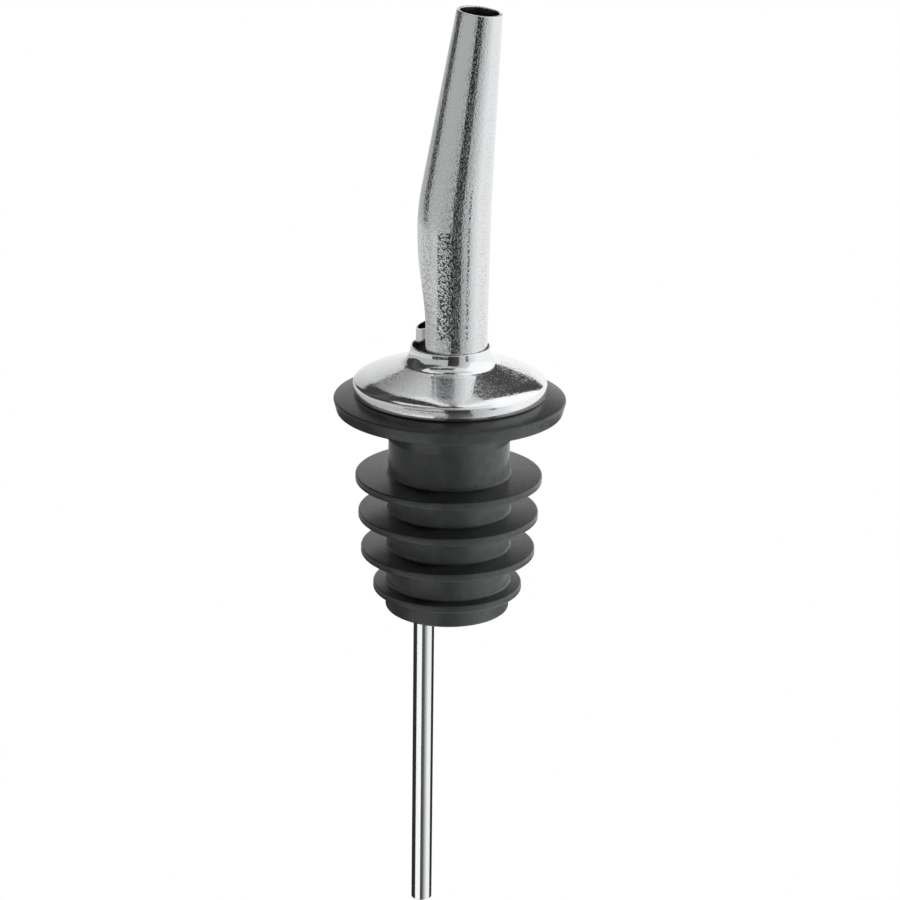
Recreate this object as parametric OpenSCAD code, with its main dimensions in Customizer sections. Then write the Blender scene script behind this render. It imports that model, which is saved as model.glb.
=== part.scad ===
// Liquor pourer: a chromed spout and dome on a metal stem, with a finned rubber stopper and a breather tube.
// The origin is the centre of the flange's underside, which sits on the bottle's lip.
// +Z points up out of the bottle and +X is the way the spout pours. All sizes are in millimetres.

/* [Stopper flange] */
// Diameter of the flange at its widest
flange_d = 29.4; // [26:0.1:34]
// Thickness of the flange under the dome
flange_t = 2.35; // [2:0.05:4]
// How far the flange's top falls away from the dome's rim to its edge
flange_fall = 0.5; // [0.1:0.05:0.8]
// Draft of the flange's edge, from its widest to its underside
flange_draft = 0.35; // [0.1:0.05:0.8]
// Rounding of the flange's edges
flange_round = 0.3; // [0.1:0.05:0.5]

/* [Stopper body] */
// Diameter of the tapered boss where it leaves the flange
boss_top_d = 17.3; // [16.8:0.1:19]
// Diameter of the boss at its lower edge
boss_low_d = 15.9; // [15.8:0.1:16.8]
// Height of the boss
boss_h = 3.4; // [2:0.1:4.5]
// Diameter of the core where it leaves the boss
core_top_d = 15.4; // [14:0.1:15.6]
// Diameter of the core at its lower end
core_low_d = 15.9; // [14:0.1:16.5]
// Depth of the stopper below the flange
stopper_depth = 26.5; // [25.5:0.1:32]
// Rounding of the stopper's lower edge
foot_round = 0.35; // [0.2:0.05:0.8]

/* [Stopper fins] */
// Diameters of the four fins, from the top one down
fin_d = [23.8, 23, 22.3, 19.1]; // [18.5:0.1:27]
// Depth of the top fin's upper face below the flange
fin_first = 8.3; // [7:0.1:9]
// Spacing of the fins
fin_pitch = 4.88; // [4:0.02:5.2]
// Thickness of a fin
fin_t = 1; // [0.7:0.05:1.4]
// Rounding of a fin's two edges
fin_round = 0.25; // [0.1:0.05:0.3]
// Fillet where a fin meets the core
fin_fillet = 0.4; // [0.1:0.05:0.6]

/* [Stem] */
// Outer diameter of the stem in the stopper
stem_d = 10.2; // [9.8:0.05:10.8]
// Thickness of the stem's tube and of its top flange
stem_wall = 0.35; // [0.3:0.05:0.5]
// Gap all round between the stem and the stopper, in which the stem turns
swivel_gap = 0.05; // [0.02:0.01:0.1]
// Radius of the bend from the stem's tube into its top flange
stem_bend_r = 1; // [0.6:0.05:1.4]
// How far the stem's rolled lower bead stands out past the tube
bead_out = 0.45; // [0.2:0.05:0.8]
// Height of the rolled lower bead
bead_h = 0.8; // [0.5:0.05:1.2]

/* [Dome] */
// Diameter of the dome's rim
rim_d = 24.5; // [23.5:0.1:25.5]
// Height of the rim, with its rounded edge
rim_h = 1.9; // [1.6:0.05:2.2]
// Rounding of the rim's upper edge
rim_edge_r = 0.6; // [0.4:0.05:0.9]
// Slope of the shoulder where it leaves the rim, in degrees
shoulder_slope = 33; // [30:0.5:37]
// Radius of the shoulder between the rim and the crown
shoulder_r = 8; // [6:0.5:10]
// Sheet thickness of the dome
dome_sheet = 0.25; // [0.2:0.01:0.35]
// How far the rim is turned in under the stem's flange
rim_turn_in = 1.6; // [1:0.1:3]
// Slope of the crown where it meets the shoulder, in degrees
crown_slope = 20; // [18:0.5:22]
// Radius of the crown's slow curve
crown_r = 150; // [100:10:300]
// Outer diameter of the neck
neck_d = 10.1; // [9.9:0.05:10.6]
// Radius of the curve from the crown up into the neck
neck_curve_r = 2.05; // [1.8:0.05:2.3]
// Straight height of the neck above that curve
neck_h = 0.35; // [0.15:0.05:1]

/* [Spout] */
// Diameter of the spout where it stands in the neck
spout_base_d = 8.86; // [8.2:0.02:9]
// Diameter of the spout at its bend
spout_bend_d = 9.15; // [8.4:0.05:9.6]
// Diameter of the spout's mouth
spout_tip_d = 5.6; // [4.5:0.1:7]
// Wall of the spout
spout_wall = 0.4; // [0.3:0.05:0.6]
// Height of the spout's bend above the bottle's lip
bend_z = 26; // [22:0.5:34]
// Lean of the spout above its bend, in degrees
spout_lean = 6.8; // [3:0.2:20]
// Radius of the bend along the spout's centre line
bend_r = 40; // [20:1:60]
// Length of the spout from its bend to its mouth
spout_reach = 25; // [18:0.2:32]
// How far the spout's lower end reaches below the seal
spout_below = 1; // [0.4:0.1:1.4]
// Rounding of the flat's two edges
flat_edge_r = 0.5; // [0.2:0.1:1]

/* [Breather] */
// Outer diameter of the breather tube
breather_d = 2.7; // [2:0.05:2.9]
// Wall of the breather tube
breather_wall = 0.2; // [0.15:0.05:0.5]
// Height of the breather's outlet above the neck's lip
vent_h = 2.7; // [1.5:0.1:3.2]
// Length of the breather below the stopper
breather_drop = 42.9; // [20:0.1:70]
// Lean of the breather towards the stopper's axis, in degrees
breather_lean = 0.15; // [0:0.05:0.6]
// Slant of the cut across the breather's outlet, in degrees
vent_slant = 20; // [0:1:30]
// Way that the slanted cut faces, in degrees round from the rear
vent_turn = 45; // [0:5:90]

/* [Neck seal] */
// Depth of the seal's top below the neck's lip
seal_recess = 0.6; // [0.2:0.05:1]
// Least wall of the seal between the spout and the neck
seal_wall = 0.12; // [0.1:0.01:0.2]

/* [Hidden] */
$fn = 96;

// Gap between pieces of the metal unit that are pressed or soldered together
fit_gap = 0.02;
// Gap between the breather and what it runs along
breather_gap = 0.05;
// Longer than any cut has to reach
past = 1;
arc_steps = 6;
curve_steps = 10;

// Stopper and stem
flange_r = flange_d / 2;
core_top_z = -boss_h;
fin_tops = [for (i = [0:len(fin_d) - 1]) -fin_first - i * fin_pitch];
bore_r = stem_d / 2 + swivel_gap;
stem_out_r = stem_d / 2;
stem_in_r = stem_out_r - stem_wall;
stem_flange_z = flange_t + dome_sheet;
stem_low_z = -stopper_depth - swivel_gap - bead_h;

// Dome: the rim's edge, the shoulder, the crown and the neck's curve are arcs that run into each other
rim_r = rim_d / 2;
rim_in_r = rim_r - dome_sheet;
edge_c = [rim_r - rim_edge_r, flange_t + rim_h - rim_edge_r];
shoulder_c = edge_c - (shoulder_r - rim_edge_r) * [sin(shoulder_slope), cos(shoulder_slope)];
// Where the inside of the shoulder meets the inside of the rim
shoulder_in_end = acos((rim_in_r - shoulder_c[0]) / (shoulder_r - dome_sheet));
crown_c = shoulder_c - (crown_r - shoulder_r) * [sin(crown_slope), cos(crown_slope)];
neck_out_r = neck_d / 2;
neck_in_r = neck_out_r - dome_sheet;
curve_c_r = neck_out_r + neck_curve_r;
crown_end = asin((curve_c_r - crown_c[0]) / (crown_r + neck_curve_r));
curve_c = [curve_c_r, crown_c[1] + (crown_r + neck_curve_r) * cos(crown_end)];
curve_turn = 90 - crown_end;
neck_top = curve_c[1] + neck_h;

// Breather along the rear of the stem's bore
breather_r = breather_d / 2;
breather_x = -(stem_in_r - breather_r - breather_gap);
vent_z = neck_top + vent_h;
breather_low_z = -stopper_depth - breather_drop;

// Seal in the neck and down into the curve below it
seal_top_z = neck_top - seal_recess;
seal_turn = 50;
seal_curve_r = neck_curve_r + dome_sheet + fit_gap;
seal_low_z = curve_c[1] - seal_curve_r * sin(seal_turn);
seal_mid_z = (seal_top_z + seal_low_z) / 2;

// Spout: it stands off centre in the neck, and its rear is pressed flat for the breather
spout_base_r = spout_base_d / 2;
spout_bend_r = spout_bend_d / 2;
spout_tip_r = spout_tip_d / 2;
spout_x = neck_in_r - seal_wall - spout_base_r;
flat_x = breather_x + breather_r + 2 * breather_gap;
flat_depth = spout_base_r - (spout_x - flat_x);
// The flat is whole up to the breather's outlet and runs out into the round tube at the bend
flat_full_z = vent_z;
flat_run = bend_z - flat_full_z;
spout_low_z = seal_low_z - spout_below;
bend_half = bend_r * tan(spout_lean / 2);
// How much the radius has fallen at the end of the bend, where the straight taper takes over
bend_fall = (spout_bend_r - spout_tip_r) * bend_half / spout_reach;
spout_sides = 48;
flat_rings = 12;
bend_rings = 6;
taper_rings = 3;

// Points of an arc about c from angle a0 to angle a1
function arc(c, r, a0, a1, steps = arc_steps) =
    [for (i = [0:steps]) let (a = a0 + (a1 - a0) * i / steps) c + r * [cos(a), sin(a)]];

function ease(t) = let (u = min(max(t, 0), 1)) u * u * (3 - 2 * u);

function mix(a, b, t) = a + (b - a) * t;

function core_r(z) =
    mix(core_top_d, core_low_d, (core_top_z - z) / (core_top_z + stopper_depth)) / 2;

// One fin's outline, from the core above it to the core below it
function fin_outline(r, top) =
    let (low = top - fin_t, edge = fin_round, f = fin_fillet)
    concat(
        arc([core_r(top) + f, top + f], f, 180, 270),
        arc([r - edge, top - edge], edge, 90, 0),
        arc([r - edge, low + edge], edge, 0, -90),
        arc([core_r(low) + f, low - f], f, 90, 180)
    );

function fin_outlines() =
    [for (i = [0:len(fin_d) - 1]) each fin_outline(fin_d[i] / 2, fin_tops[i])];

function stopper_outline() =
    let (
        low_r = flange_r - flange_draft,
        edge_z = flange_t - flange_fall,
        g = flange_round
    )
    concat(
        [[0, flange_t], [rim_r, flange_t]],
        arc([flange_r - g, edge_z - g], g, 80, 0),
        arc([low_r - g, g], g, -10, -90),
        arc([boss_top_d / 2 + g, -g], g, 90, 180),
        [[boss_low_d / 2, -boss_h], [core_top_d / 2, core_top_z]],
        fin_outlines(),
        arc([core_low_d / 2 - foot_round, foot_round - stopper_depth], foot_round, 0, -90),
        [[0, -stopper_depth]]
    );

module stopper() {
    color("#333435")
    difference() {
        rotate_extrude() polygon(stopper_outline());
        translate([0, 0, -stopper_depth - past])
            cylinder(r = bore_r, h = stopper_depth + flange_t + 2 * past);
        // Room for the bend below the stem's top flange
        translate([0, 0, flange_t - stem_bend_r])
            cylinder(r1 = bore_r, r2 = bore_r + stem_bend_r + past, h = stem_bend_r + past);
    }
}

// Tube, top flange and rolled lower bead are drawn from one piece of metal
module stem_tube() {
    flange_out_r = rim_in_r - fit_gap;
    bend_c = [stem_out_r + stem_bend_r, stem_flange_z - stem_bend_r];
    bead_c = [stem_out_r, stem_low_z + bead_h / 2];
    color("#b9bcbf")
    rotate_extrude()
        polygon(concat(
            arc(bend_c, stem_bend_r + stem_wall, 180, 90),
            [[flange_out_r, stem_flange_z + stem_wall], [flange_out_r, stem_flange_z]],
            arc(bend_c, stem_bend_r, 90, 180),
            [[stem_out_r, bead_c[1] + bead_h / 2]],
            [for (p = arc([0, 0], 1, 90, -90)) bead_c + [p[0] * bead_out, p[1] * bead_h / 2]],
            [[stem_in_r, stem_low_z]]
        ));
}

// Neck, crown, shoulder and rim are drawn from one sheet, and the rim is turned in under the stem's flange
module dome_collar() {
    turn_in_r = rim_in_r - rim_turn_in;
    fold = dome_sheet;
    color("#c9cbcd")
    rotate_extrude()
        polygon(concat(
            [[turn_in_r, flange_t]],
            arc([rim_r - fold, flange_t + fold], fold, -90, 0),
            arc(edge_c, rim_edge_r, 0, 90 - shoulder_slope),
            arc(shoulder_c, shoulder_r, 90 - shoulder_slope, 90 - crown_slope),
            arc(crown_c, crown_r, 90 - crown_slope, 90 - crown_end, curve_steps),
            arc(curve_c, neck_curve_r, 180 + curve_turn, 180),
            [[neck_out_r, neck_top], [neck_in_r, neck_top]],
            arc(curve_c, neck_curve_r + fold, 180, 180 + curve_turn),
            arc(crown_c, crown_r - fold, 90 - crown_end, 90 - crown_slope, curve_steps),
            arc(shoulder_c, shoulder_r - fold, 90 - crown_slope, shoulder_in_end),
            [[rim_in_r, stem_flange_z], [turn_in_r, stem_flange_z]]
        ));
}

module along_breather() {
    translate([breather_x, 0, seal_mid_z])
        rotate([0, -breather_lean, 0])
            translate([0, 0, -seal_mid_z])
                children();
}

module breather_tube() {
    in_r = breather_r - breather_wall;
    color("#a9adb1")
    along_breather()
        difference() {
            translate([0, 0, breather_low_z])
                cylinder(r = breather_r, h = vent_z - breather_low_z);
            translate([0, 0, breather_low_z - past])
                cylinder(r = in_r, h = vent_z - breather_low_z + 2 * past);
            // The slanted cut leaves the side away from the way it faces at full height
            rotate([0, 0, vent_turn])
                translate([breather_r, 0, vent_z])
                    rotate([0, -vent_slant, 0])
                        translate([-4 * breather_d, -breather_d, 0])
                            cube([5 * breather_d, 2 * breather_d, breather_d * 2]);
        }
}

// The spout's section: a circle of radius r whose rear is pressed in by depth
function spout_section(r, depth) =
    let (flat = depth - r, soft = flat_edge_r * depth / flat_depth)
    [for (i = [0:spout_sides - 1])
        let (a = 360 * i / spout_sides, x = r * cos(a))
        [(x + flat + sqrt((x - flat) ^ 2 + soft ^ 2)) / 2, r * sin(a)]];

// How far the flat has run out at height z, from 0 to 1
function flat_end(z) = ease((z - flat_full_z) / flat_run);

// Stations up the spout, each [x, z, lean, radius, depth of the flat]
function spout_stations() =
    let (
        straight_top = bend_z - bend_half,
        taper_len = spout_reach - bend_half,
        bend_c_x = spout_x + bend_r
    )
    concat(
        [[spout_x, spout_low_z, 0, spout_base_r, flat_depth]],
        [for (i = [0:flat_rings])
            let (z = mix(flat_full_z, straight_top, i / flat_rings), e = flat_end(z))
            [spout_x, z, 0, mix(spout_base_r, spout_bend_r, e), flat_depth * (1 - e)]],
        [for (i = [1:bend_rings])
            let (t = i / bend_rings, a = spout_lean * t, z = straight_top + bend_r * sin(a))
            [bend_c_x - bend_r * cos(a), z, a,
                spout_bend_r - bend_fall * t ^ 2, flat_depth * (1 - flat_end(z))]],
        [for (i = [1:taper_rings])
            let (t = i / taper_rings, run = bend_half + taper_len * t)
            [spout_x + run * sin(spout_lean), bend_z + run * cos(spout_lean), spout_lean,
                mix(spout_bend_r - bend_fall, spout_tip_r, t), 0]]
    );

function spout_ring(s, wall) =
    [for (p = spout_section(s[3] - wall, s[4]))
        [s[0] + p[0] * cos(s[2]), p[1], s[1] - p[0] * sin(s[2])]];

module pour_spout() {
    stations = spout_stations();
    rings = len(stations);
    n = spout_sides;
    points = [for (wall = [0, spout_wall], s = stations) each spout_ring(s, wall)];
    // A skin point's number from its skin, ring and side
    function at(skin, ring, side) = (skin * rings + ring) * n + side % n;
    skins = [for (r = [0:rings - 2], i = [0:n - 1]) each [
        [at(0, r, i), at(0, r + 1, i), at(0, r + 1, i + 1)],
        [at(0, r, i), at(0, r + 1, i + 1), at(0, r, i + 1)],
        [at(1, r, i), at(1, r + 1, i + 1), at(1, r + 1, i)],
        [at(1, r, i), at(1, r, i + 1), at(1, r + 1, i + 1)]
    ]];
    ends = [for (i = [0:n - 1]) each [
        [at(0, 0, i), at(0, 0, i + 1), at(1, 0, i + 1)],
        [at(0, 0, i), at(1, 0, i + 1), at(1, 0, i)],
        [at(0, rings - 1, i), at(1, rings - 1, i + 1), at(0, rings - 1, i + 1)],
        [at(0, rings - 1, i), at(1, rings - 1, i), at(1, rings - 1, i + 1)]
    ]];
    color("#cfd1d3") polyhedron(points, concat(skins, ends));
}

// Fills the neck round the spout and the breather
module neck_seal() {
    color("#161617")
    difference() {
        rotate_extrude()
            polygon(concat(
                [[0, neck_top], [neck_in_r - fit_gap, neck_top]],
                arc(curve_c, seal_curve_r, 180, 180 + seal_turn),
                [[0, seal_low_z]]
            ));
        translate([0, 0, seal_top_z]) cylinder(r = curve_c_r, h = neck_top);
        translate([spout_x, 0, seal_low_z - past])
            linear_extrude(seal_top_z - seal_low_z + 2 * past)
                polygon(spout_section(spout_base_r + fit_gap, flat_depth));
        along_breather()
            translate([0, 0, seal_low_z - past])
                cylinder(r = breather_r + fit_gap, h = seal_top_z - seal_low_z + 2 * past);
    }
}

stopper();
stem_tube();
dome_collar();
neck_seal();
pour_spout();
breather_tube();
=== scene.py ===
import math

import bmesh
import bpy
from mathutils import Matrix, Vector


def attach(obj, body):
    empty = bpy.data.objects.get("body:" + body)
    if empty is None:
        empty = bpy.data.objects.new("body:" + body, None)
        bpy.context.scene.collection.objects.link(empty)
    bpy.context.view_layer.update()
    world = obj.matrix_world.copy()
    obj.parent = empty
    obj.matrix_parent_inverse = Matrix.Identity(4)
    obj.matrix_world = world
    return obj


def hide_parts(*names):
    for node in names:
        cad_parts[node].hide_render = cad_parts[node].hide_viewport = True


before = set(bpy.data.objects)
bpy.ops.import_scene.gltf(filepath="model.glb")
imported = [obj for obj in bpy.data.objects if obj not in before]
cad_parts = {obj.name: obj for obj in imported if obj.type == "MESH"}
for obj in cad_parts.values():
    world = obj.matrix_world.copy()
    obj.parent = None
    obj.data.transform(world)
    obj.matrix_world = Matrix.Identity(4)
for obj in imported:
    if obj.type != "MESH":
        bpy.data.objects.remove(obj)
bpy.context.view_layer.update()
mm = 0.001
print("frame loaded:", sorted(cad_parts))


def arc(centre, radius, startDeg, endDeg, steps=8):
    points = []
    for i in range(steps + 1):
        a = math.radians(startDeg + (endDeg - startDeg) * i / steps)
        points.append((centre[0] + radius * math.cos(a), centre[1] + radius * math.sin(a)))
    return points


def ease(t):
    u = min(max(t, 0.0), 1.0)
    return u * u * (3 - 2 * u)


def mix(a, b, t):
    return a + (b - a) * t


def addObject(name, data):
    item = bpy.data.objects.new(name, data)
    bpy.context.scene.collection.objects.link(item)
    return item


# Joins rings of points into one closed skin, the last ring back to the first
def skinRings(name, rings, sharpDeg=38):
    count = len(rings[0])
    mesh = bpy.data.meshes.new(name)
    points = [Vector(p) * mm for ring in rings for p in ring]
    faces = []
    for k in range(len(rings)):
        a, b = k * count, (k + 1) % len(rings) * count
        for i in range(count):
            j = (i + 1) % count
            faces.append((a + i, a + j, b + j, b + i))
    mesh.from_pydata(points, [], faces)
    work = bmesh.new()
    work.from_mesh(mesh)
    bmesh.ops.recalc_face_normals(work, faces=work.faces)
    work.to_mesh(mesh)
    work.free()
    mesh.shade_smooth()
    mesh.set_sharp_from_angle(angle=math.radians(sharpDeg))
    return addObject(name, mesh)


# Spins an outline of (radius, height) points about the stopper's axis
def revolve(name, outline, sides):
    turns = [math.tau * i / sides for i in range(sides)]
    rings = [[(r * math.cos(t), r * math.sin(t), z) for t in turns] for r, z in outline]
    return skinRings(name, rings)


def place(piece, body, node, material):
    piece.data.materials.append(material)
    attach(piece, body)
    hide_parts(node)


def linearColour(hexText):
    channels = []
    for i in (1, 3, 5):
        c = int(hexText[i:i + 2], 16) / 255
        channels.append(c / 12.92 if c <= 0.04045 else ((c + 0.055) / 1.055) ** 2.4)
    return (*channels, 1.0)


# Adds a node, sets its properties, and links or sets its inputs
def addNode(tree, kind, inputs=None, **settings):
    node = tree.nodes.new(kind)
    for name, value in settings.items():
        setattr(node, name, value)
    for name, value in (inputs or {}).items():
        if isinstance(value, bpy.types.NodeSocket):
            tree.links.new(value, node.inputs[name])
        else:
            node.inputs[name].default_value = value
    return node


def newMaterial(name):
    material = bpy.data.materials.new(name)
    material.use_nodes = True
    material.node_tree.nodes.clear()
    return material, material.node_tree


# Bright chromium plate over tumbled metal: a clean mirror between shallow pits that catch other light, so a
# dark reflection breaks up into grain. Real pits of about 0.1 mm are too fine to show, so they are drawn
# 0.3 mm wide. They are deep in a band of distances from the stopper's axis and rubbed down outside it.
spoutPlate = {
    "colour": "#e2e4e5",
    "pitMm": 0.3,
    "pitDepthMm": 0.0135,
    "pitShare": 0.46,
    "pitEdge": 0.2,
    "bandMm": (0, 30),
    "fadeMm": 1.2,
    "rubbedTo": 0.3,
    "waveMm": 1.2,
    "waveDepthMm": 0.004,
    "roughLow": 0.02,
    "roughHigh": 0.06,
}
domePlate = {
    **spoutPlate,
    "colour": "#eff0f1",
    "pitDepthMm": 0.0085,
    "pitShare": 0.48,
    "bandMm": (6.6, 10),
    "waveDepthMm": 0.003,
    "roughLow": 0.07,
    "roughHigh": 0.1,
}


def tumbledChrome(name, plate):
    material, tree = newMaterial(name)
    coords = addNode(tree, "ShaderNodeTexCoord")
    flat = addNode(tree, "ShaderNodeVectorMath", {
        0: coords.outputs["Object"],
        1: (1, 1, 0),
    }, operation="MULTIPLY")
    fromAxis = addNode(tree, "ShaderNodeVectorMath", {0: flat.outputs["Vector"]}, operation="LENGTH")
    fromMiddle = addNode(tree, "ShaderNodeMath", {
        0: fromAxis.outputs["Value"],
        1: sum(plate["bandMm"]) / 2 * mm,
    }, operation="SUBTRACT")
    offMiddle = addNode(tree, "ShaderNodeMath", {0: fromMiddle.outputs["Value"]}, operation="ABSOLUTE")
    halfBand = (plate["bandMm"][1] - plate["bandMm"][0]) / 2
    depthLeft = addNode(tree, "ShaderNodeMapRange", {
        "Value": offMiddle.outputs["Value"],
        "From Min": halfBand * mm,
        "From Max": (halfBand + plate["fadeMm"]) * mm,
        "To Min": 1.0,
        "To Max": plate["rubbedTo"],
    })
    pitNoise = addNode(tree, "ShaderNodeTexNoise", {
        "Vector": coords.outputs["Object"],
        "Scale": 1 / (plate["pitMm"] * mm),
        "Detail": 2.0,
        "Roughness": 0.6,
    })
    waveNoise = addNode(tree, "ShaderNodeTexNoise", {
        "Vector": coords.outputs["Object"],
        "Scale": 1 / (plate["waveMm"] * mm),
        "Detail": 1.0,
    })
    pits = addNode(tree, "ShaderNodeMapRange", {
        "Value": pitNoise.outputs["Fac"],
        "From Min": plate["pitShare"],
        "From Max": plate["pitShare"] + plate["pitEdge"],
    }, interpolation_type="SMOOTHSTEP")
    dulling = addNode(tree, "ShaderNodeMapRange", {
        "Value": pits.outputs["Result"],
        "To Min": plate["roughLow"],
        "To Max": plate["roughHigh"],
    })
    waves = addNode(tree, "ShaderNodeBump", {
        "Strength": 1.0,
        "Distance": plate["waveDepthMm"] * mm,
        "Height": waveNoise.outputs["Fac"],
    })
    pitted = addNode(tree, "ShaderNodeBump", {
        "Strength": depthLeft.outputs["Result"],
        "Distance": plate["pitDepthMm"] * mm,
        "Height": pits.outputs["Result"],
        "Normal": waves.outputs["Normal"],
    }, invert=True)
    shader = addNode(tree, "ShaderNodeBsdfPrincipled", {
        "Base Color": linearColour(plate["colour"]),
        "Metallic": 1.0,
        "Roughness": dulling.outputs["Result"],
        "Normal": pitted.outputs["Normal"],
    })
    addNode(tree, "ShaderNodeOutputMaterial", {"Surface": shader.outputs["BSDF"]})
    return material


# Cold-drawn stainless tube: faint lines along its length, over a clean mirror outside and dull in the bore,
# where the colour is also darkened as painted shade for the inside of the spout.
# Real lines of a few hundredths of a millimetre are too fine to show, so they are drawn 0.25 to 0.35 mm wide.
tubeLines = {
    "colour": "#eff0f1",
    "lineMm": 0.25,
    "lineDepthMm": 0.001,
    "stretch": 40,
    "roughLow": 0.05,
    "roughHigh": 0.16,
}
boreLinesAndShade = {
    # painted shade: the bore's dark grey colour stands for the shade inside the spout, while its lines and
    # dull roughness are the tube's own
    "colour": "#4a4b4c",
    "lineMm": 0.35,
    "lineDepthMm": 0.006,
    "stretch": 12,
    "roughLow": 0.3,
    "roughHigh": 0.5,
}


def drawnSteel(name, drawn):
    material, tree = newMaterial(name)
    coords = addNode(tree, "ShaderNodeTexCoord")
    along = addNode(tree, "ShaderNodeMapping", {
        "Vector": coords.outputs["Object"],
        "Scale": (1.0, 1.0, 1 / drawn["stretch"]),
    })
    lines = addNode(tree, "ShaderNodeTexNoise", {
        "Vector": along.outputs["Vector"],
        "Scale": 1 / (drawn["lineMm"] * mm),
        "Detail": 2.0,
    })
    dulling = addNode(tree, "ShaderNodeMapRange", {
        "Value": lines.outputs["Fac"],
        "To Min": drawn["roughLow"],
        "To Max": drawn["roughHigh"],
    })
    bump = addNode(tree, "ShaderNodeBump", {
        "Strength": 1.0,
        "Distance": drawn["lineDepthMm"] * mm,
        "Height": lines.outputs["Fac"],
    })
    shader = addNode(tree, "ShaderNodeBsdfPrincipled", {
        "Base Color": linearColour(drawn["colour"]),
        "Metallic": 1.0,
        "Roughness": dulling.outputs["Result"],
        "Normal": bump.outputs["Normal"],
    })
    addNode(tree, "ShaderNodeOutputMaterial", {"Surface": shader.outputs["BSDF"]})
    return material


# Compression-moulded synthetic rubber: charcoal, a soft sheen at the edges, and clouds of paler bloom.
# The mould's real grain of about 0.05 mm is too fine to show, so it is drawn 0.2 to 0.3 mm wide.
stopperMould = {
    "colour": "#282929",
    "bloomColour": "#303132",
    "bloomMm": 1.4,
    "bloomFrom": 0.35,
    "bloomTo": 0.75,
    "grainMm": 0.2,
    "grainDepthMm": 0.012,
    "rough": 0.29,
    "roughSpread": 0.1,
    "specular": 0.35,
}
sealMould = {
    **stopperMould,
    "colour": "#0f0f10",
    "bloomColour": "#161617",
    "bloomMm": 1.0,
    "grainMm": 0.3,
    "grainDepthMm": 0.006,
    "rough": 0.6,
}


def mouldedRubber(name, mould):
    material, tree = newMaterial(name)
    coords = addNode(tree, "ShaderNodeTexCoord")
    grain = addNode(tree, "ShaderNodeTexNoise", {
        "Vector": coords.outputs["Object"],
        "Scale": 1 / (mould["grainMm"] * mm),
        "Detail": 3.0,
        "Roughness": 0.6,
    })
    cloud = addNode(tree, "ShaderNodeTexNoise", {
        "Vector": coords.outputs["Object"],
        "Scale": 1 / (mould["bloomMm"] * mm),
        "Detail": 3.0,
    })
    bloom = addNode(tree, "ShaderNodeMapRange", {
        "Value": cloud.outputs["Fac"],
        "From Min": mould["bloomFrom"],
        "From Max": mould["bloomTo"],
    })
    tone = addNode(tree, "ShaderNodeMix", {
        "Factor": bloom.outputs["Result"],
        "A": linearColour(mould["colour"]),
        "B": linearColour(mould["bloomColour"]),
    }, data_type="RGBA")
    dulling = addNode(tree, "ShaderNodeMapRange", {
        "Value": grain.outputs["Fac"],
        "To Min": mould["rough"] - mould["roughSpread"],
        "To Max": mould["rough"] + mould["roughSpread"],
    })
    bump = addNode(tree, "ShaderNodeBump", {
        "Strength": 1.0,
        "Distance": mould["grainDepthMm"] * mm,
        "Height": grain.outputs["Fac"],
    })
    shader = addNode(tree, "ShaderNodeBsdfPrincipled", {
        "Base Color": tone.outputs["Result"],
        "Roughness": dulling.outputs["Result"],
        "Specular IOR Level": mould["specular"],
        "Normal": bump.outputs["Normal"],
    })
    addNode(tree, "ShaderNodeOutputMaterial", {"Surface": shader.outputs["BSDF"]})
    return material


spoutChrome = tumbledChrome("tumbledChromeSpout", spoutPlate)
domeChrome = tumbledChrome("tumbledChromeDome", domePlate)
tubeSteel = drawnSteel("drawnSteelTube", tubeLines)
shadedBoreSteel = drawnSteel("drawnSteelBoreShade", boreLinesAndShade)
stopperRubber = mouldedRubber("mouldedRubberStopper", stopperMould)
sealRubber = mouldedRubber("mouldedRubberSeal", sealMould)
print("materials made")


# Stopper: flange, tapered boss, core and four fins, moulded in one
stopper = {
    "flangeAcross": 29.4,
    "flangeThick": 2.35,
    "flangeFall": 0.5,
    "flangeDraft": 0.35,
    "edgeRound": 0.3,
    "edgeTilt": 10,
    "bossTop": 17.3,
    "bossLow": 15.9,
    "bossHigh": 3.4,
    "coreTop": 15.4,
    "coreLow": 15.9,
    "deep": 26.5,
    "footRound": 0.35,
    "finAcross": (23.8, 23.0, 22.3, 19.1),
    "finFirst": 8.3,
    "finPitch": 4.88,
    "finThick": 1.0,
    "finRound": 0.25,
    "finRoundSteps": 5,
    "finFillet": 0.4,
    "finFilletSteps": 6,
    "bore": 10.3,
    "boreFlare": 1.0,
    "sides": 256,
}


def coreRadius(z):
    s = stopper
    t = (-s["bossHigh"] - z) / (s["deep"] - s["bossHigh"])
    return mix(s["coreTop"], s["coreLow"], t) / 2


def finOutline(radius, top):
    s = stopper
    low = top - s["finThick"]
    edge, fillet = s["finRound"], s["finFillet"]
    return (
        arc((coreRadius(top) + fillet, top + fillet), fillet, 180, 270, s["finFilletSteps"])
        + arc((radius - edge, top - edge), edge, 90, 0, s["finRoundSteps"])
        + arc((radius - edge, low + edge), edge, 0, -90, s["finRoundSteps"])
        + arc((coreRadius(low) + fillet, low - fillet), fillet, 90, 180, s["finFilletSteps"])
    )


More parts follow.
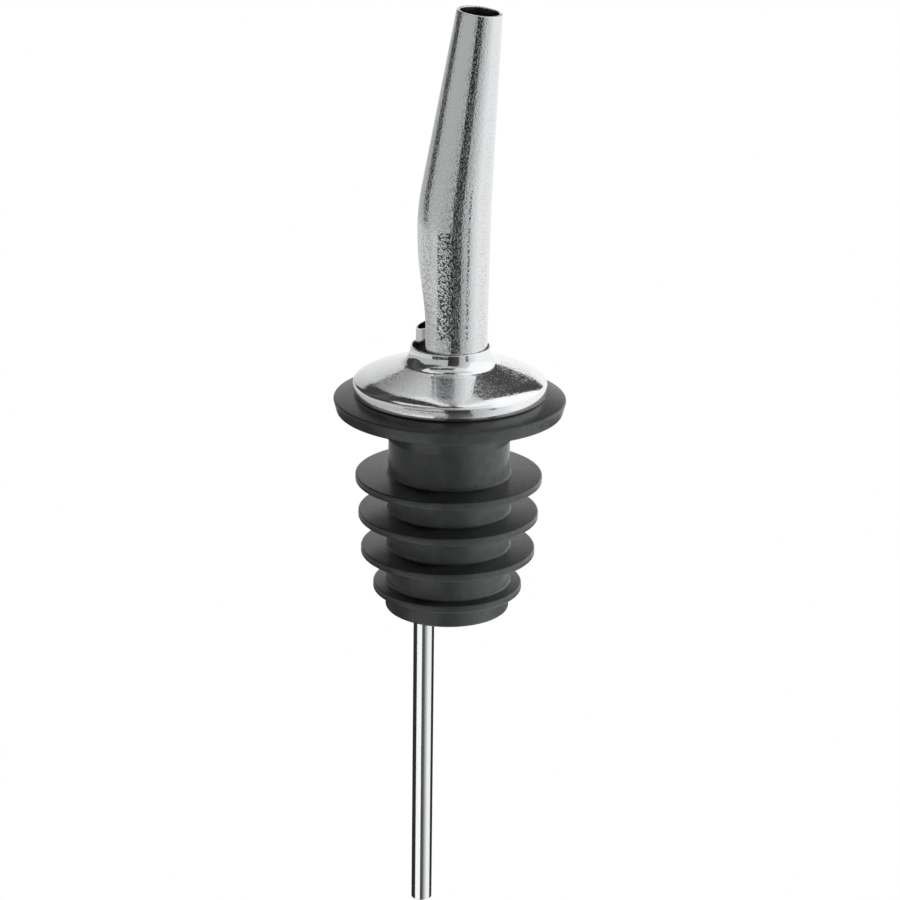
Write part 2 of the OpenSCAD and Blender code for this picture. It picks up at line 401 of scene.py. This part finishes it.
def makeStopper():
    s = stopper
    rim, g = s["flangeAcross"] / 2, s["edgeRound"]
    low, edgeTop = rim - s["flangeDraft"], s["flangeThick"] - s["flangeFall"]
    boss, bore = s["bossTop"] / 2, s["bore"] / 2
    outline = [(bore + s["boreFlare"], s["flangeThick"]), (dome["rimAcross"] / 2, s["flangeThick"])]
    outline += arc((rim - g, edgeTop - g), g, 90 - s["edgeTilt"], 0)
    outline += arc((low - g, g), g, -s["edgeTilt"], -90)
    outline += arc((boss + g, -g), g, 90, 180)
    outline += [(s["bossLow"] / 2, -s["bossHigh"]), (s["coreTop"] / 2, -s["bossHigh"])]
    for i, across in enumerate(s["finAcross"]):
        outline += finOutline(across / 2, -s["finFirst"] - i * s["finPitch"])
    foot = s["footRound"]
    outline += arc((s["coreLow"] / 2 - foot, foot - s["deep"]), foot, 0, -90)
    outline += [(bore, -s["deep"]), (bore, s["flangeThick"] - s["boreFlare"])]
    piece = revolve("stopperMoulding", outline, s["sides"])
    place(piece, "stopper", "stopper", stopperRubber)


# Dome: neck, hollow curve, crown, shoulder and rim, drawn from one sheet
dome = {
    "rimAcross": 24.5,
    "rimHigh": 1.9,
    "edgeRound": 0.6,
    "edgeSteps": 8,
    "shoulderSlope": 33,
    "shoulderRadius": 8.0,
    "shoulderSteps": 16,
    "insideSteps": 12,
    "sheet": 0.25,
    "turnIn": 1.6,
    "foldSteps": 6,
    "crownSlope": 20,
    "crownRadius": 150.0,
    "crownSteps": 28,
    "neckAcross": 10.1,
    "neckCurve": 2.05,
    "neckSteps": 20,
    "neckHigh": 0.35,
    "lipSteps": 8,
    "sides": 320,
}


# Centres of the arcs, each meeting the next: rim's edge, shoulder, crown and the hollow curve below the neck
def domeCurves():
    d = dome
    steep, slope = math.radians(d["shoulderSlope"]), math.radians(d["crownSlope"])
    edge = (d["rimAcross"] / 2 - d["edgeRound"], stopper["flangeThick"] + d["rimHigh"] - d["edgeRound"])
    inset = d["shoulderRadius"] - d["edgeRound"]
    shoulder = (edge[0] - inset * math.sin(steep), edge[1] - inset * math.cos(steep))
    inset = d["crownRadius"] - d["shoulderRadius"]
    crown = (shoulder[0] - inset * math.sin(slope), shoulder[1] - inset * math.cos(slope))
    curveR = d["neckAcross"] / 2 + d["neckCurve"]
    reach = d["crownRadius"] + d["neckCurve"]
    crownEnd = math.asin((curveR - crown[0]) / reach)
    curve = (curveR, crown[1] + reach * math.cos(crownEnd))
    return {
        "edge": edge,
        "shoulder": shoulder,
        "crown": crown,
        "curve": curve,
        "crownEnd": math.degrees(crownEnd),
    }


def neckTop():
    return domeCurves()["curve"][1] + dome["neckHigh"]


def makeDome():
    d = dome
    c = domeCurves()
    base, sheet = stopper["flangeThick"], d["sheet"]
    rim, neck = d["rimAcross"] / 2, d["neckAcross"] / 2
    steep, slope, top = 90 - d["shoulderSlope"], 90 - d["crownSlope"], 90 - c["crownEnd"]
    inside = math.degrees(math.acos((rim - sheet - c["shoulder"][0]) / (d["shoulderRadius"] - sheet)))
    outline = [(rim - sheet - d["turnIn"], base)]
    outline += arc((rim - sheet, base + sheet), sheet, -90, 0, d["foldSteps"])
    outline += arc(c["edge"], d["edgeRound"], 0, steep, d["edgeSteps"])
    outline += arc(c["shoulder"], d["shoulderRadius"], steep, slope, d["shoulderSteps"])[1:]
    outline += arc(c["crown"], d["crownRadius"], slope, top, d["crownSteps"])[1:]
    outline += arc(c["curve"], d["neckCurve"], 180 + top, 180, d["neckSteps"])[1:]
    outline += arc((neck - sheet / 2, neckTop() - sheet / 2), sheet / 2, 0, 180, d["lipSteps"])
    outline += arc(c["curve"], d["neckCurve"] + sheet, 180, 180 + top, d["neckSteps"])
    outline += arc(c["crown"], d["crownRadius"] - sheet, top, slope, d["crownSteps"])[1:]
    outline += arc(c["shoulder"], d["shoulderRadius"] - sheet, slope, inside, d["insideSteps"])[1:]
    outline += [(rim - sheet, base + sheet), (rim - sheet - d["turnIn"], base + sheet)]
    piece = revolve("domeCollarShell", outline, d["sides"])
    place(piece, "pourer", "dome_collar", domeChrome)


# Stem: the tube through the stopper, with its flange caught in the dome and its lower end rolled out
stem = {
    "across": 10.2,
    "wall": 0.35,
    "bend": 1.0,
    "beadOut": 0.45,
    "beadHigh": 0.8,
    "beadSteps": 12,
    "gap": 0.05,
    "flangeGap": 0.02,
    "sides": 256,
}


def makeStem():
    s = stem
    outer, inner = s["across"] / 2, s["across"] / 2 - s["wall"]
    flangeZ = stopper["flangeThick"] + dome["sheet"]
    flangeR = dome["rimAcross"] / 2 - dome["sheet"] - s["flangeGap"]
    low = -stopper["deep"] - s["gap"] - s["beadHigh"]
    bend = (outer + s["bend"], flangeZ - s["bend"])
    half = s["beadHigh"] / 2
    outline = arc(bend, s["bend"] + s["wall"], 180, 90)
    outline += [(flangeR, flangeZ + s["wall"]), (flangeR, flangeZ)]
    outline += arc(bend, s["bend"], 90, 180)
    for x, z in arc((0, 0), 1, 90, -90, s["beadSteps"]):
        outline.append((outer + s["beadOut"] * x, low + half + half * z))
    outline += [(inner, low)]
    piece = revolve("stemTube", outline, s["sides"])
    place(piece, "pourer", "stem_tube", tubeSteel)


# Seal: the CAD node stays, and these sizes place the spout and the breather in it
seal = {
    "recess": 0.6,
    "turn": 50,
    "wall": 0.12,
    "fit": 0.02,
}


def sealHeights():
    curve = domeCurves()["curve"]
    top = neckTop() - seal["recess"]
    reach = dome["neckCurve"] + dome["sheet"] + seal["fit"]
    low = curve[1] - reach * math.sin(math.radians(seal["turn"]))
    return low, top


def finishSeal():
    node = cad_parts["neck_seal"]
    node.data.materials.clear()
    node.data.materials.append(sealRubber)


# Breather: a straight tube that leans a little, with a slanted cut across its outlet
breather = {
    "across": 2.7,
    "wall": 0.2,
    "gap": 0.05,
    "lean": 0.15,
    "drop": 42.9,
    "ventHigh": 2.7,
    "ventSlant": 20,
    "ventTurn": 45,
    "burr": 0.06,
    "sides": 64,
}


def ventZ():
    return neckTop() + breather["ventHigh"]


def breatherX():
    b = breather
    return -(stem["across"] / 2 - stem["wall"] - b["across"] / 2 - b["gap"])


def makeBreather():
    b = breather
    pivotZ = sum(sealHeights()) / 2
    lean = math.radians(b["lean"])
    outer, inner = b["across"] / 2, b["across"] / 2 - b["wall"]
    lowZ = -stopper["deep"] - b["drop"]
    rise = math.tan(math.radians(b["ventSlant"]))

    def ring(radius, height=None):   # without a height, the ring lies on the slanted cut
        points = []
        for i in range(b["sides"]):
            t = math.tau * i / b["sides"]
            x, y = radius * math.cos(t), radius * math.sin(t)
            z = height
            if height is None:
                z = ventZ() + (radius * math.cos(t - math.radians(b["ventTurn"])) - outer) * rise
            up = z - pivotZ
            points.append((
                breatherX() + x * math.cos(lean) - up * math.sin(lean),
                y,
                pivotZ + up * math.cos(lean) + x * math.sin(lean),
            ))
        return points

    burr = b["burr"]
    rings = [
        ring(outer - burr, lowZ),
        ring(outer, lowZ + burr),
        ring(outer),
        ring(inner),
        ring(inner, lowZ + burr),
        ring(inner + burr, lowZ),
    ]
    piece = skinRings("breatherTube", rings)
    place(piece, "pourer", "breather_tube", tubeSteel)


# Spout: straight foot with its rear pressed flat, a slow bend, then a leaning taper to the mouth
spout = {
    "footAcross": 8.86,
    "bendAcross": 9.15,
    "mouthAcross": 5.6,
    "wall": 0.4,
    "bendZ": 26.0,
    "lean": 6.8,
    "bendRadius": 40.0,
    "reach": 25.0,
    "below": 1.0,
    "flatEdge": 0.5,
    "lipRound": 0.12,
    "sides": 192,
    "footSteps": 5,
    "pressSteps": 48,
    "bendSteps": 24,
    "taperSteps": 16,
    "lipSteps": 8,
    "sharpDeg": 50,
}


# Sections from the foot up: x, z, lean, radius and how deep the rear is pressed in
def spoutStations():
    s = spout
    foot, bendR, mouth = s["footAcross"] / 2, s["bendAcross"] / 2, s["mouthAcross"] / 2
    x = dome["neckAcross"] / 2 - dome["sheet"] - seal["wall"] - foot
    flatX = breatherX() + breather["across"] / 2 + 2 * breather["gap"]
    depth = foot - (x - flatX)
    half = s["bendRadius"] * math.tan(math.radians(s["lean"] / 2))
    straightTop = s["bendZ"] - half
    fall = (bendR - mouth) * half / s["reach"]
    flatFull, flatRun = ventZ(), s["bendZ"] - ventZ()
    lowZ = sealHeights()[0] - s["below"]
    lean = math.radians(s["lean"])
    stations = []
    for i in range(s["footSteps"]):
        stations.append((x, mix(lowZ, flatFull, i / s["footSteps"]), 0.0, foot, depth))
    for i in range(s["pressSteps"] + 1):
        z = mix(flatFull, straightTop, i / s["pressSteps"])
        e = ease((z - flatFull) / flatRun)
        stations.append((x, z, 0.0, mix(foot, bendR, e), depth * (1 - e)))
    for i in range(1, s["bendSteps"] + 1):
        t = i / s["bendSteps"]
        z = straightTop + s["bendRadius"] * math.sin(lean * t)
        e = ease((z - flatFull) / flatRun)
        across = x + s["bendRadius"] * (1 - math.cos(lean * t))
        stations.append((across, z, lean * t, bendR - fall * t * t, depth * (1 - e)))
    for i in range(1, s["taperSteps"] + 1):
        run = mix(half, s["reach"] - s["lipRound"], i / s["taperSteps"])
        radius = mix(bendR - fall, mouth, (run - half) / (s["reach"] - half))
        stations.append((x + run * math.sin(lean), s["bendZ"] + run * math.cos(lean), lean, radius, 0.0))
    return stations, depth


def makeSpout():
    s = spout
    stations, fullDepth = spoutStations()

    def ring(station, inset, lift=0.0):
        x, z, lean, radius, depth = station
        r = radius - inset
        flat, soft = depth - r, s["flatEdge"] * depth / fullDepth
        points = []
        for i in range(s["sides"]):
            t = math.tau * i / s["sides"]
            across = r * math.cos(t)
            across = (across + flat + math.hypot(across - flat, soft)) / 2
            points.append((
                x + across * math.cos(lean) + lift * math.sin(lean),
                r * math.sin(t),
                z - across * math.sin(lean) + lift * math.cos(lean),
            ))
        return points

    rings = [ring(station, 0.0) for station in stations]
    for step in range(1, s["lipSteps"]):   # the mouth's lip is rounded over by the tumbling
        a = math.pi * step / s["lipSteps"]
        rings.append(ring(stations[-1], s["wall"] / 2 * (1 - math.cos(a)), s["lipRound"] * math.sin(a)))
    boreStart = len(rings) * s["sides"]   # faces from the inner edge of the lip down
    rings += [ring(station, s["wall"]) for station in reversed(stations)]
    piece = skinRings("pourSpoutTube", rings, s["sharpDeg"])
    place(piece, "pourer", "pour_spout", spoutChrome)
    # the spout's inner faces take the bore material, whose dark colour is painted shade
    piece.data.materials.append(shadedBoreSteel)
    boreSlot = piece.data.materials.find(shadedBoreSteel.name)
    for face in piece.data.polygons[boreStart:-s["sides"]]:
        face.material_index = boreSlot


makeStopper()
makeDome()
makeStem()
finishSeal()
makeBreather()
makeSpout()
print("pieces made")


# Camera at the photograph's place: angles in degrees, distance from the point it looks at
camera = {
    "azimuth": 25.0,
    "elevation": 18.83,
    "distance": 350.0,
    "roll": 0.85,
    "lens": 110.18,
    "sensor": 36.0,
    "lookRight": 0.12,
    "lookDown": 5.36,
    "nearest": 10.0,
    "farthest": 20000.0,
}


# A direction given by degrees to the right of the camera and degrees up
def towards(azimuth, elevation):
    a, e = math.radians(camera["azimuth"] + azimuth), math.radians(elevation)
    return Vector((math.sin(a) * math.cos(e), -math.cos(a) * math.cos(e), math.sin(e)))


def makeCamera():
    c = camera
    back = towards(0, c["elevation"])
    right = towards(90, 0)
    up = back.cross(right)
    roll = math.radians(c["roll"])
    xAxis = right * math.cos(roll) + up * math.sin(roll)
    yAxis = up * math.cos(roll) - right * math.sin(roll)
    look = Vector((0, 0, -c["lookDown"])) + right * c["lookRight"]
    spot = (look + back * c["distance"]) * mm
    data = bpy.data.cameras.new("productCamera")
    data.sensor_width = c["sensor"]
    data.lens = c["lens"]
    data.clip_start = c["nearest"] * mm
    data.clip_end = c["farthest"] * mm
    item = addObject("productCamera", data)
    item.matrix_world = Matrix((
        (xAxis.x, yAxis.x, back.x, spot.x),
        (xAxis.y, yAxis.y, back.y, spot.y),
        (xAxis.z, yAxis.z, back.z, spot.z),
        (0, 0, 0, 1),
    ))
    bpy.context.scene.camera = item


makeCamera()
print("camera placed")


# Studio: a white surround, a pale floor well below, and grey and black cards that only the shiny finishes
# reflect
studio = {
    "white": "#ffffff",
    "paper": "#f2f2f2",
    "floorDrop": 1000.0,
    "floorAcross": 12000.0,
    "cardReach": 900.0,
    "cardStep": 2.0,
    "cardParts": 16,
    "lampReach": 1200.0,
    "lampHigh": 200.0,
    "fill": 0.025,
}
# Corners are degrees to the right of the camera and degrees up; glow is the brightness at the two ends.
# The last four stand upright near the part, as many millimetres from its axis as away says, and the second
# number of their corners is millimetres up.
cards = {
    "leftWall": {"corners": [(-152, -24), (4, -24), (4, 40), (-152, 40)], "glow": (0.5, 0.5)},
    "rearLeftWall": {"corners": [(-180, -24), (-150, -24), (-150, 30), (-180, 30)], "glow": (1.0, 0.48)},
    "leftCeiling": {"corners": [(-180, 38), (-60, 38), (-60, 84), (-180, 84)], "glow": (0.85, 0.75)},
    "frontCeiling": {"corners": [(-80, 36), (24, 36), (24, 84), (-80, 84)], "glow": (0.5, 0.5)},
    "rightCeiling": {"corners": [(24, 60), (120, 64), (120, 84), (24, 84)], "glow": (0.52, 0.8)},
    "rearRightWall": {"corners": [(146, 56), (174, 56), (174, 76), (146, 76)], "glow": (0.66, 0.66)},
    "rightFall": {"corners": [(20, -24), (80, -24), (70, 62), (20, 62)], "glow": (0.38, 0.95)},
    "rightScreen": {"corners": [(58, 14), (148, 16), (148, 62), (58, 64)], "glow": (1.05, 1.13)},
    "rearShade": {"corners": [(-148, 27), (-148, 58), (-176, 58), (-176, 33)], "glow": (0.13, 0.7)},
    "frontShadeHigh": {"corners": [(-75, 49), (15, 49), (15, 61), (-75, 61)], "glow": (0.05, 0.05)},
    "frontGlowHigh": {"corners": [(15, 46), (60, 46), (60, 67), (15, 67)], "glow": (0.7, 0.85)},
    "rightShade": {"corners": [(149, 17), (176, 19), (176, 46), (147, 46)], "glow": (0.06, 0.08)},
    "rightShadeHigh": {"corners": [(147, 46), (176, 46), (176, 52), (150, 62)], "glow": (0.09, 0.14)},
    "cameraStand": {"corners": [(-5, -16.6), (25, -16.6), (24, 36), (-8, 36)], "glow": (0.02, 0.07)},
    "cameraFoot": {"corners": [(-2, -26), (28, -26), (28, -16.6), (-2, -16.6)], "glow": (0.06, 0.16)},
    "leftTable": {"corners": [(-77, -80), (-18, -80), (-18, -21), (-77, -21)], "glow": (1.05, 1.1)},
    "frontTable": {"corners": [(-18, -80), (10, -80), (10, -21), (-18, -21)], "glow": (0.06, 0.1)},
    "rightTable": {"corners": [(10, -80), (60, -80), (60, -21), (10, -21)], "glow": (0.1, 1.05)},
    "leftTableEdge": {"corners": [(-185, -80), (-77, -80), (-77, -21), (-185, -21)], "glow": (0.02, 0.03)},
    "rightTableEdge": {"corners": [(101, -34), (175, -34), (175, -21.5), (101, -21.5)], "glow": (0.03, 0.02)},
    "flagArm": {"corners": [(-96, 28), (-26, 29), (-30, 38), (-86, 52)], "glow": (0.05, 0.12)},
    "flagPole": {"corners": [(-147, 50), (-128, 50), (-118, 88), (-156, 88)], "glow": (0.04, 0.05)},
    "flagBoom": {"corners": [(-180, 81), (180, 81), (180, 89.5), (-180, 89.5)], "glow": (0.05, 0.05)},
    "leftFlag": {"corners": [(-157, 29), (-76, 29), (-84, 52), (-145, 57)], "glow": (0.05, 0.05)},
    "leftFlagLow": {"corners": [(-147, 5), (-104, 6), (-76, 29), (-147, 29)], "glow": (0.05, 0.05)},
    "nearFlag": {
        "corners": [(-108, 16), (-88, 16), (-92, 64), (-136, 64)],
        "glow": (0.1, 0.05),
        "away": 48,
    },
    "leftGlow": {
        "corners": [(-150, -28), (-50, -28), (-50, -7), (-150, -7)],
        "glow": (0.8, 0.66),
        "away": 141,
    },
    "frontShade": {
        "corners": [(-52, -30), (0, -30), (0, -9), (-52, -9)],
        "glow": (0.09, 0.02),
        "away": 140,
    },
    "rightRod": {
        "corners": [(42, -6), (50, -6), (50, 14), (42, 14)],
        "glow": (0.1, 0.12),
        "away": 60,
    },
}
# Soft boxes: one each side of the camera at the height of the part, one on its right and two behind it
lamps = {
    "leftBox": {"azimuth": -48, "elevation": -4, "wide": 700.0, "power": 9.5},
    "rightBox": {"azimuth": 66, "elevation": -4, "wide": 700.0, "power": 24.0},
    "rearLeftBox": {"azimuth": -152, "elevation": 14, "wide": 500.0, "power": 26.0},
    "rearRightBox": {"azimuth": 148, "elevation": 14, "wide": 500.0, "power": 26.0},
    "sideBox": {"azimuth": 102, "elevation": 7, "wide": 300.0, "power": 24.0},
}


def cardPaper():
    material, tree = newMaterial("studioCard")
    glow = addNode(tree, "ShaderNodeAttribute", attribute_name="glow")
    shine = addNode(tree, "ShaderNodeEmission", {
        "Color": linearColour(studio["white"]),
        "Strength": glow.outputs["Fac"],
    })
    addNode(tree, "ShaderNodeOutputMaterial", {"Surface": shine.outputs["Emission"]})
    return material


def makeCard(name, card, material, reach):
    parts = studio["cardParts"]
    low, lowRight, highRight, high = [Vector(corner) for corner in card["corners"]]
    points, glows, faces = [], [], []
    for j in range(parts + 1):
        for i in range(parts + 1):
            spot = low.lerp(lowRight, i / parts).lerp(high.lerp(highRight, i / parts), j / parts)
            if "away" in card:
                points.append((towards(spot.x, 0) * card["away"] + Vector((0, 0, spot.y))) * mm)
            else:
                points.append(towards(spot.x, spot.y) * reach * mm)
            glows.append(mix(*card["glow"], i / parts))
    for j in range(parts):
        for i in range(parts):
            k = j * (parts + 1) + i
            faces.append((k, k + 1, k + parts + 2, k + parts + 1))
    mesh = bpy.data.meshes.new(name)
    mesh.from_pydata(points, [], faces)
    mesh.attributes.new("glow", "FLOAT", "POINT").data.foreach_set("value", glows)
    mesh.materials.append(material)
    item = addObject(name, mesh)
    item.visible_camera = False
    item.visible_diffuse = False
    item.visible_shadow = False
    item.visible_transmission = False


def makeLamp(name, lamp):
    data = bpy.data.lights.new(name, "AREA")
    data.shape = "RECTANGLE"
    data.size = lamp["wide"] * mm
    data.size_y = studio["lampHigh"] * mm
    data.energy = lamp["power"]
    item = addObject(name, data)
    out = towards(lamp["azimuth"], lamp["elevation"])
    item.location = out * studio["lampReach"] * mm
    item.rotation_euler = out.to_track_quat("Z", "Y").to_euler()
    item.visible_camera = False
    item.visible_glossy = False


# 1 for what the camera, a mirror or glass sees, and 0 for light that falls on the part
def seenWhite(tree):
    light = addNode(tree, "ShaderNodeLightPath")
    seen = addNode(tree, "ShaderNodeMath", {
        0: light.outputs["Is Camera Ray"],
        1: light.outputs["Is Glossy Ray"],
    }, operation="MAXIMUM")
    through = addNode(tree, "ShaderNodeMath", {
        0: seen.outputs["Value"],
        1: light.outputs["Is Transmission Ray"],
    }, operation="MAXIMUM")
    return through.outputs["Value"]


def makeFloor():
    half = studio["floorAcross"] / 2 * mm
    z = -studio["floorDrop"] * mm
    mesh = bpy.data.meshes.new("paleFloor")
    corners = [(-half, -half, z), (half, -half, z), (half, half, z), (-half, half, z)]
    mesh.from_pydata(corners, [], [(0, 1, 2, 3)])
    material, tree = newMaterial("palePaper")
    paper = addNode(tree, "ShaderNodeBsdfDiffuse", {"Color": linearColour(studio["paper"])})
    white = addNode(tree, "ShaderNodeEmission", {"Color": linearColour(studio["white"]), "Strength": 1.0})
    either = addNode(tree, "ShaderNodeMixShader", {
        0: seenWhite(tree),
        1: paper.outputs["BSDF"],
        2: white.outputs["Emission"],
    })
    addNode(tree, "ShaderNodeOutputMaterial", {"Surface": either.outputs["Shader"]})
    mesh.materials.append(material)
    addObject("paleFloor", mesh)


def makeWorld():
    world = bpy.data.worlds.new("whiteSurround")
    world.use_nodes = True
    tree = world.node_tree
    tree.nodes.clear()
    strength = addNode(tree, "ShaderNodeMapRange", {
        "Value": seenWhite(tree),
        "To Min": studio["fill"],
        "To Max": 1.0,
    })
    sky = addNode(tree, "ShaderNodeBackground", {
        "Color": linearColour(studio["white"]),
        "Strength": strength.outputs["Result"],
    })
    addNode(tree, "ShaderNodeOutputWorld", {"Surface": sky.outputs["Background"]})
    world.cycles.sampling_method = "NONE"   # an even surround needs no map of its bright spots
    bpy.context.scene.world = world


makeFloor()
makeWorld()
cardSurface = cardPaper()
for order, (name, card) in enumerate(cards.items()):   # later cards stand in front of the earlier ones
    makeCard(name, card, cardSurface, studio["cardReach"] - order * studio["cardStep"])
for name, lamp in lamps.items():
    makeLamp(name, lamp)
bpy.context.scene.view_settings.view_transform = "Standard"
print("studio lit")
